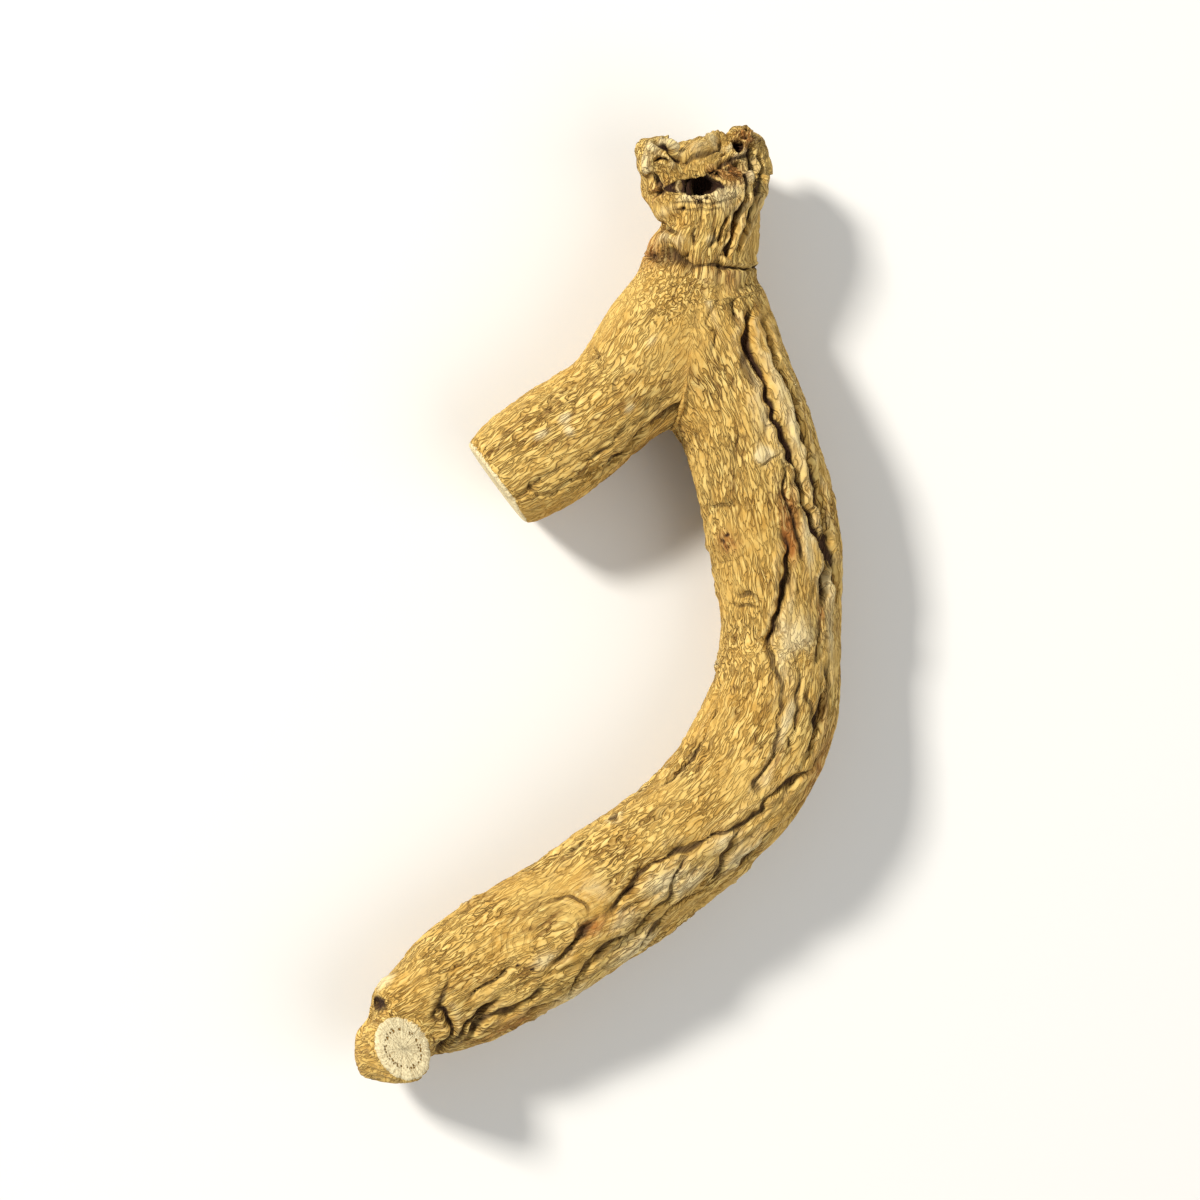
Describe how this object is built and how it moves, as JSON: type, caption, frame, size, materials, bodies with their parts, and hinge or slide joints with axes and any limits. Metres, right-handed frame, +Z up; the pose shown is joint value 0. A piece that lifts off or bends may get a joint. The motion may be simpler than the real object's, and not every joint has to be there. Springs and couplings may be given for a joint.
{
  "type": "dried ginseng root",
  "caption": "Dried forked root: knobbly crown, ringed neck, long wrinkled leg curved like a C with a cut rootlet at its tip, and a short side leg cut straight across.",
  "frame": {"origin": "middle of the root's bounding box, on the surface that the root lies on", "axes": "+Z up as the root lies; +Y towards the crown; +X towards the outside of the bend"},
  "size_m": [0.0468, 0.0892, 0.0136],
  "materials": {
    "dried_root": "matt, wrinkled, unpeeled dried root skin"
  },
  "bodies": {
    "root": {"ginseng_root": "dried_root"}
  },
  "joints": []
}
